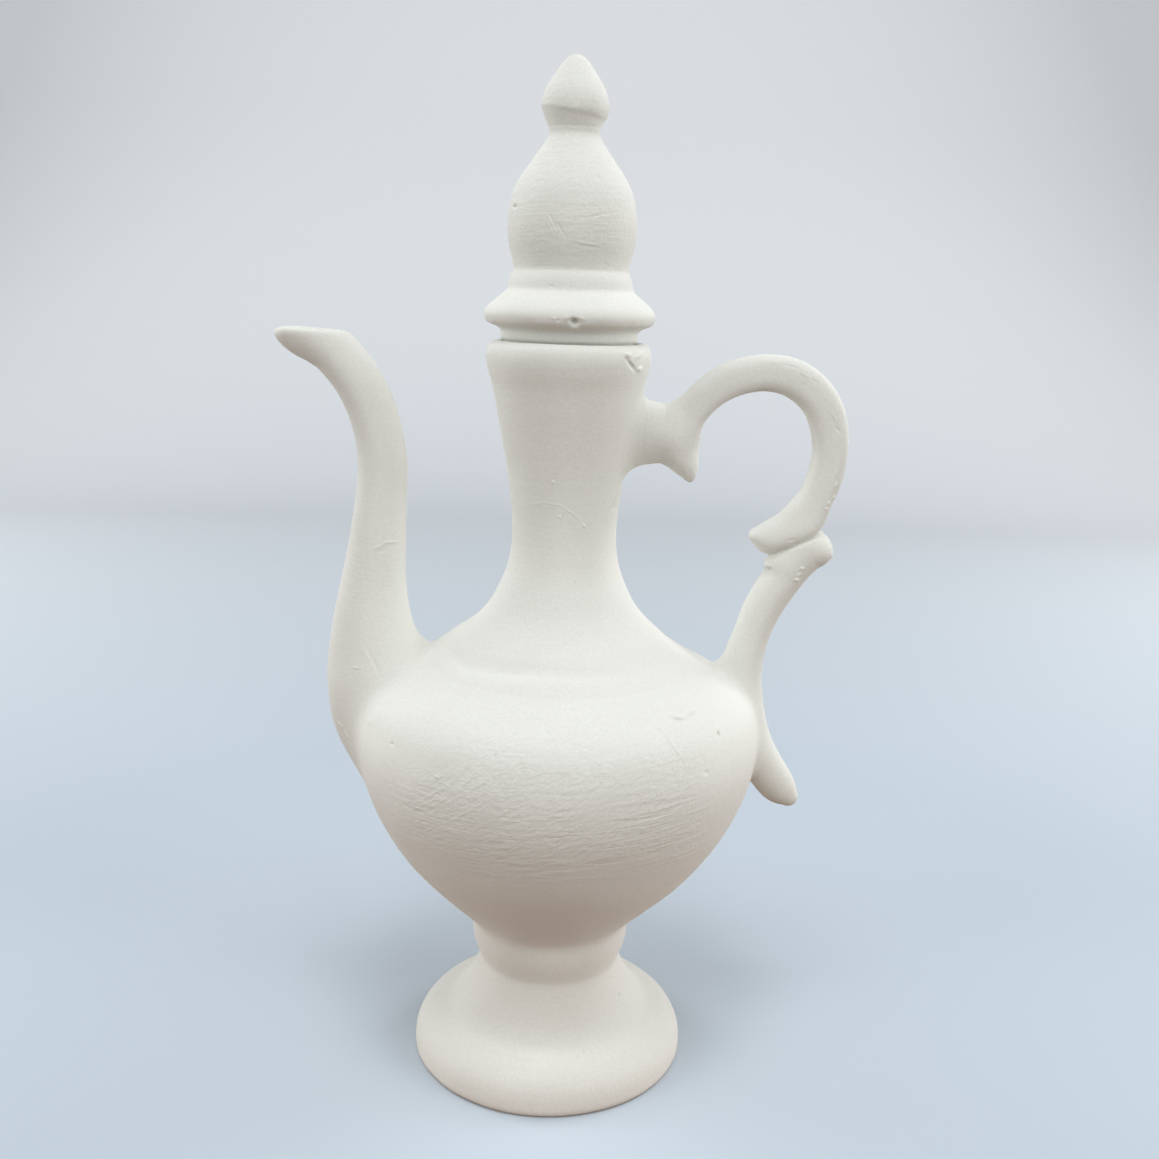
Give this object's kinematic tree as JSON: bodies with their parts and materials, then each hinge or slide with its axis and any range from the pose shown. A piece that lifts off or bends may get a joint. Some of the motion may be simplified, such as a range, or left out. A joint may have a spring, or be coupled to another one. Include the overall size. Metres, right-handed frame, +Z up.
{
  "type": "ewer",
  "caption": "Footed bisque ewer with a round belly, flared neck, long curved spout, scroll handle and a bud-topped stopper lid; it holds and pours liquid.",
  "frame": {"origin": "on the table under the centre of the vessel, where its axis meets the plane of the footring", "axes": "+Z up along the vessel's axis, -X towards the spout, +X towards the handle"},
  "size_m": [0.1817, 0.133, 0.33],
  "materials": {
    "bisque": "matte"
  },
  "bodies": {
    "vessel": {"foot": "bisque", "belly": "bisque", "neck": "bisque", "spout": "bisque", "handle_scroll": "bisque", "handle_strut": "bisque"},
    "stopper": {"lid": "bisque", "finial": "bisque"}
  },
  "joints": [
    {"name": "lid_lift", "type": "slide", "parent": "vessel", "child": "stopper", "axis": [0, 0, 1], "range_m": [0, 0.06]}
  ]
}
